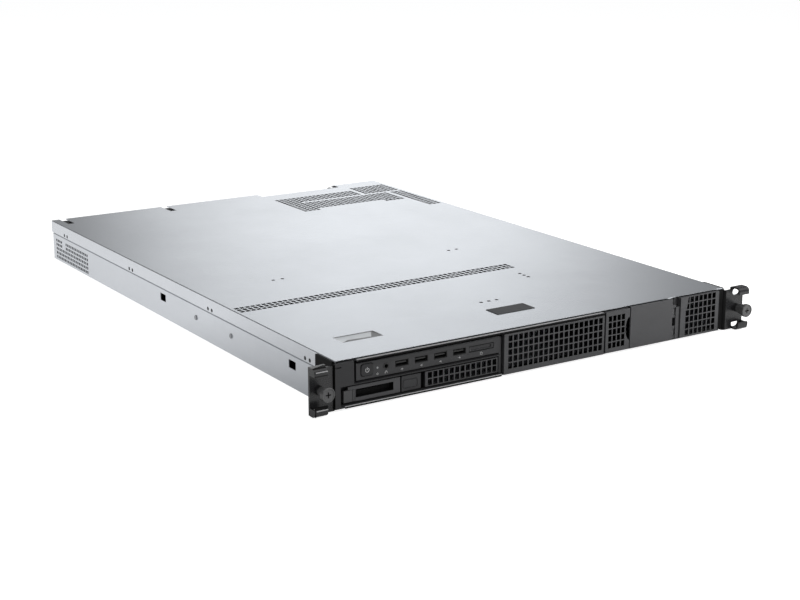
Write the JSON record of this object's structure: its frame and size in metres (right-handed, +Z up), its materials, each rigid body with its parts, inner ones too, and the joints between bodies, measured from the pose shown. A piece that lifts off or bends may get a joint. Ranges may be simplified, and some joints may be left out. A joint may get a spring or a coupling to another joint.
{
  "type": "rack server",
  "caption": "One-unit rack server: shallow sheet-steel case with sliding cover, grilled front, rack ears with captive screws, fans, boards and plug-in supply.",
  "frame": {"origin": "centre of the chassis underside, midway between the front and rear edges of the tray", "axes": "+X to the right seen from the front, +Y from front to rear, +Z up"},
  "size_m": [0.4826, 0.6682, 0.0437],
  "materials": {
    "zinc_steel": "satin galvanised sheet",
    "cover_steel": "satin galvanised sheet",
    "inner_steel": "satin sheet",
    "bulkhead_black": "matt black",
    "bezel_black": "satin black moulding",
    "panel_black": "satin black moulding",
    "door_black": "satin black moulding",
    "carrier_black": "satin black moulding",
    "latch_grey": "satin grey moulding",
    "button_black": "satin black",
    "grille_grey": "satin dark grey paint",
    "ear_black": "satin black paint",
    "knob_metal": "satin black finish",
    "knob_black": "satin black",
    "ferrule_steel": "dark zinc",
    "rivet_steel": "bright",
    "screw_steel": "bright",
    "standoff_brass": "plain",
    "lamp_lens": "clear lens",
    "socket_black": "matt black",
    "socket_metal": "plain",
    "port_metal": "plated",
    "board_green": "solder mask",
    "memory_green": "solder mask",
    "stick_green": "solder mask",
    "module_plastic": "satin",
    "fan_plastic": "satin black",
    "rotor_plastic": "satin black",
    "cooler_aluminium": "plain",
    "baffle_plastic": "satin black film",
    "supply_metal": "plain sheet",
    "lever_plastic": "satin orange",
    "cable_black": "matt",
    "pad_black": "matt"
  },
  "bodies": {
    "chassis": {"chassis_tray": "zinc_steel", "rear_panel": "zinc_steel", "screw_bracket": "inner_steel", "front_bulkhead": "bulkhead_black", "bezel_frame": "bezel_black", "io_panel": "panel_black", "status_lamp": "lamp_lens", "headset_jack": "socket_black", "usb_ports": "port_metal", "card_reader": "socket_black", "port_board": "board_green", "lower_grille": "grille_grey", "main_grille": "grille_grey", "side_grille": "grille_grey", "right_grille": "grille_grey", "blank_plug": "panel_black", "carrier_cage": "inner_steel", "hinge_post": "bezel_black", "ear_right": "ear_black", "ear_left": "ear_black", "screw_ferrules": "ferrule_steel", "module_cage": "inner_steel", "storage_modules": "module_plastic", "fan_bracket": "inner_steel", "fan_frames": "fan_plastic", "mainboard": "board_green", "board_standoffs": "standoff_brass", "board_screws": "screw_steel", "cpu_socket": "socket_metal", "cpu_heatsink": "cooler_aluminium", "heatsink_screws": "screw_steel", "memory_sockets": "socket_black", "memory_modules": "memory_green", "air_baffle": "baffle_plastic", "riser_board": "board_green", "expansion_card": "cooler_aluminium", "card_bracket": "inner_steel", "chipset_heatsink": "cooler_aluminium", "rear_ports": "port_metal", "psu_cage": "inner_steel", "power_backplane": "board_green", "front_cables": "cable_black", "side_rivets": "rivet_steel"},
    "cover": {"top_cover": "cover_steel", "cover_pad": "pad_black"},
    "cover_knob": {"cover_screw": "knob_black"},
    "button": {"power_button": "button_black"},
    "carrier": {"drive_carrier": "carrier_black", "solid_state_drive": "stick_green"},
    "latch": {"carrier_latch": "latch_grey"},
    "door": {"access_door": "door_black"},
    "ear_screw_right": {"thumbscrew_right": "knob_metal"},
    "ear_screw_left": {"thumbscrew_left": "knob_metal"},
    "supply": {"psu_module": "supply_metal"},
    "supply_lever": {"psu_lever": "lever_plastic"},
    "fan_wheel_1": {"rotor_1": "rotor_plastic"},
    "fan_wheel_2": {"rotor_2": "rotor_plastic"},
    "fan_wheel_3": {"rotor_3": "rotor_plastic"},
    "fan_wheel_4": {"rotor_4": "rotor_plastic"},
    "fan_wheel_5": {"rotor_5": "rotor_plastic"}
  },
  "joints": [
    {"name": "cover_slide", "type": "slide", "parent": "chassis", "child": "cover", "axis": [0, 1, 0], "range_m": [0, 0.015]},
    {"name": "cover_screw_turn", "type": "hinge", "parent": "cover", "child": "cover_knob", "pos_m": [0.147, 0.3045, 0.0383], "axis": [0, 1, 0], "continuous": true},
    {"name": "power_button_press", "type": "slide", "parent": "chassis", "child": "button", "axis": [0, 1, 0], "range_m": [0, 0.001], "stiffness_N_per_m": 600, "springref_m": -0.001},
    {"name": "carrier_slide", "type": "slide", "parent": "chassis", "child": "carrier", "axis": [0, -1, 0], "range_m": [0, 0.115]},
    {"name": "carrier_latch_press", "type": "slide", "parent": "carrier", "child": "latch", "axis": [0, 1, 0], "range_m": [0, 0.0012], "stiffness_N_per_m": 500, "springref_m": -0.001},
    {"name": "door_hinge", "type": "hinge", "parent": "chassis", "child": "door", "pos_m": [0.1522, -0.3159, 0.018], "axis": [0, 0, 1], "range_deg": [0, 90]},
    {"name": "ear_screw_right_turn", "type": "hinge", "parent": "chassis", "child": "ear_screw_right", "pos_m": [0.23255, -0.3175, 0.0219], "axis": [0, 1, 0], "continuous": true},
    {"name": "ear_screw_left_turn", "type": "hinge", "parent": "chassis", "child": "ear_screw_left", "pos_m": [-0.23255, -0.3175, 0.0219], "axis": [0, 1, 0], "continuous": true},
    {"name": "supply_slide", "type": "slide", "parent": "chassis", "child": "supply", "axis": [0, 1, 0], "range_m": [0, 0.18]},
    {"name": "supply_lever_press", "type": "hinge", "parent": "supply", "child": "supply_lever", "pos_m": [-0.1426, 0.3167, 0.0325], "axis": [0, 0, 1], "range_deg": [0, 14], "stiffness_Nm_per_rad": 0.05, "springref_deg": -5.73},
    {"name": "fan_spin_1", "type": "hinge", "parent": "chassis", "child": "fan_wheel_1", "pos_m": [-0.187, -0.1075, 0.0216], "axis": [0, 1, 0], "continuous": true},
    {"name": "fan_spin_2", "type": "hinge", "parent": "chassis", "child": "fan_wheel_2", "pos_m": [-0.125, -0.1075, 0.0216], "axis": [0, 1, 0], "continuous": true},
    {"name": "fan_spin_3", "type": "hinge", "parent": "chassis", "child": "fan_wheel_3", "pos_m": [-0.063, -0.1075, 0.0216], "axis": [0, 1, 0], "continuous": true},
    {"name": "fan_spin_4", "type": "hinge", "parent": "chassis", "child": "fan_wheel_4", "pos_m": [-0.001, -0.1075, 0.0216], "axis": [0, 1, 0], "continuous": true},
    {"name": "fan_spin_5", "type": "hinge", "parent": "chassis", "child": "fan_wheel_5", "pos_m": [0.061, -0.1075, 0.0216], "axis": [0, 1, 0], "continuous": true}
  ]
}
